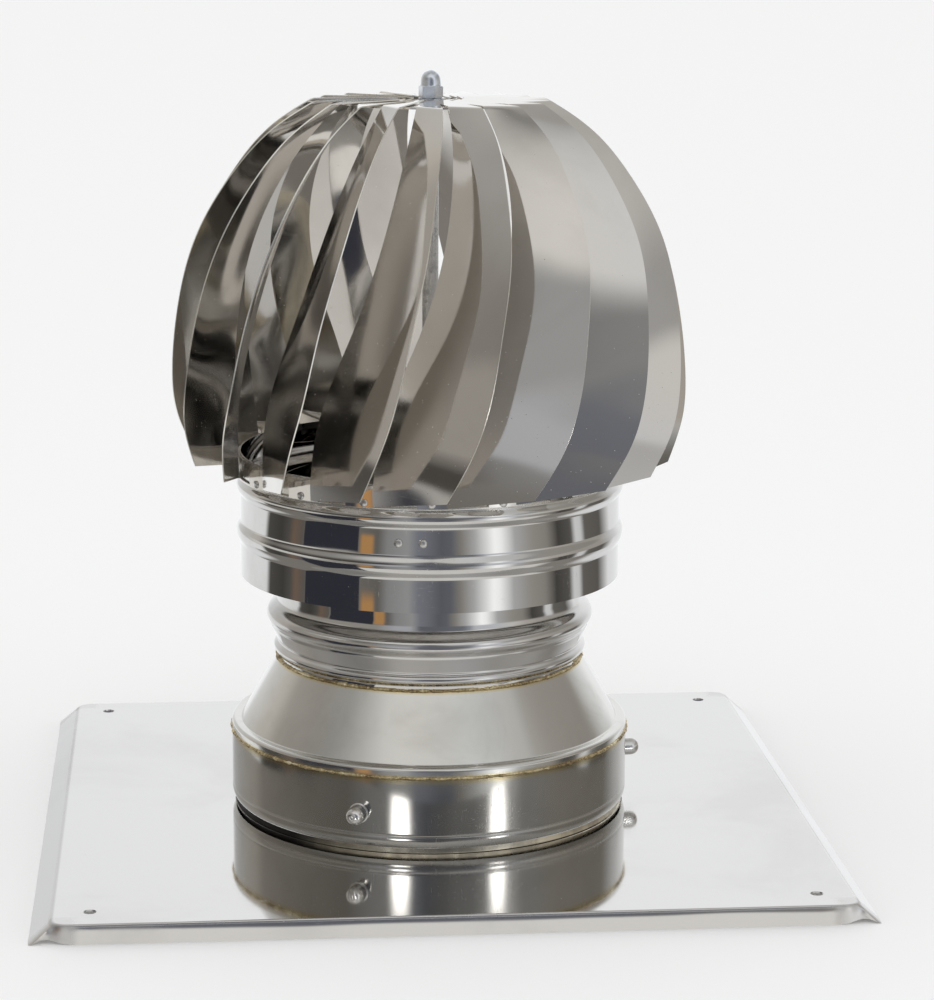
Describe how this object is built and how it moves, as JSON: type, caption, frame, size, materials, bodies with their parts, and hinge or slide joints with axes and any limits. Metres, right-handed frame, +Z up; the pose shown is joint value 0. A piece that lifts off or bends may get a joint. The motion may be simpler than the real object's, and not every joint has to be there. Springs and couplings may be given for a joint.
{
  "type": "rotating chimney cowl",
  "caption": "Wind-turned flue cowl: bladed dome with a beaded skirt on a neck, reducer cone and screwed collar over a square flanged base plate.",
  "frame": {"origin": "on the flue's axis, level with the lower edges of the base plate", "axes": "+Z up along the flue's axis, +X along the flared sides' direction, the pictured front looks along +Y"},
  "size_m": [0.3918, 0.3698, 0.3792],
  "materials": {
    "plate_sheet": "bright rolled stainless sheet, faint smudges",
    "collar_sheet": "polished stainless sheet with brown weld tint",
    "neck_sheet": "polished stainless sheet",
    "skirt_sheet": "polished stainless sheet",
    "blade_sheet": "bright annealed stainless, fine rolling grain",
    "bracket_steel": "pickled stainless bar",
    "turned_steel": "turned bright steel",
    "rivet_steel": "dull stainless rivets",
    "screw_steel": "bright stainless screws",
    "bearing_steel": "ground bearing steel",
    "nut_zinc": "bluish zinc plating"
  },
  "bodies": {
    "root": {"base_plate": "plate_sheet", "plate_spigot": "collar_sheet", "base_collar": "collar_sheet", "collar_screws": "screw_steel", "reducer_cone": "collar_sheet", "neck_pipe": "neck_sheet", "upper_bracket": "bracket_steel", "lower_bracket": "bracket_steel", "bracket_rivets": "rivet_steel", "bearing_tube": "bracket_steel", "lower_bearing_outer": "bearing_steel", "lower_bearing_balls": "bearing_steel", "upper_bearing_outer": "bearing_steel", "upper_bearing_balls": "bearing_steel"},
    "rotor": {"blade_01": "blade_sheet", "blade_02": "blade_sheet", "blade_03": "blade_sheet", "blade_04": "blade_sheet", "blade_05": "blade_sheet", "blade_06": "blade_sheet", "blade_07": "blade_sheet", "blade_08": "blade_sheet", "blade_09": "blade_sheet", "blade_10": "blade_sheet", "blade_11": "blade_sheet", "blade_12": "blade_sheet", "blade_13": "blade_sheet", "blade_14": "blade_sheet", "blade_15": "blade_sheet", "blade_16": "blade_sheet", "blade_17": "blade_sheet", "blade_18": "blade_sheet", "top_disc": "blade_sheet", "lower_ring": "blade_sheet", "foot_rivets": "rivet_steel", "rotor_skirt": "skirt_sheet", "skirt_rivets": "rivet_steel", "spindle": "turned_steel", "shoulder_washer": "turned_steel", "top_washer": "nut_zinc", "cap_nut": "nut_zinc", "lower_bearing_inner": "bearing_steel", "upper_bearing_inner": "bearing_steel", "bearing_spacer": "turned_steel", "end_washer": "nut_zinc", "end_nut": "nut_zinc"}
  },
  "joints": [
    {"name": "rotor_spin", "type": "hinge", "parent": "root", "child": "rotor", "pos_m": [0, 0, 0.15], "axis": [0, 0, 1], "continuous": true}
  ]
}
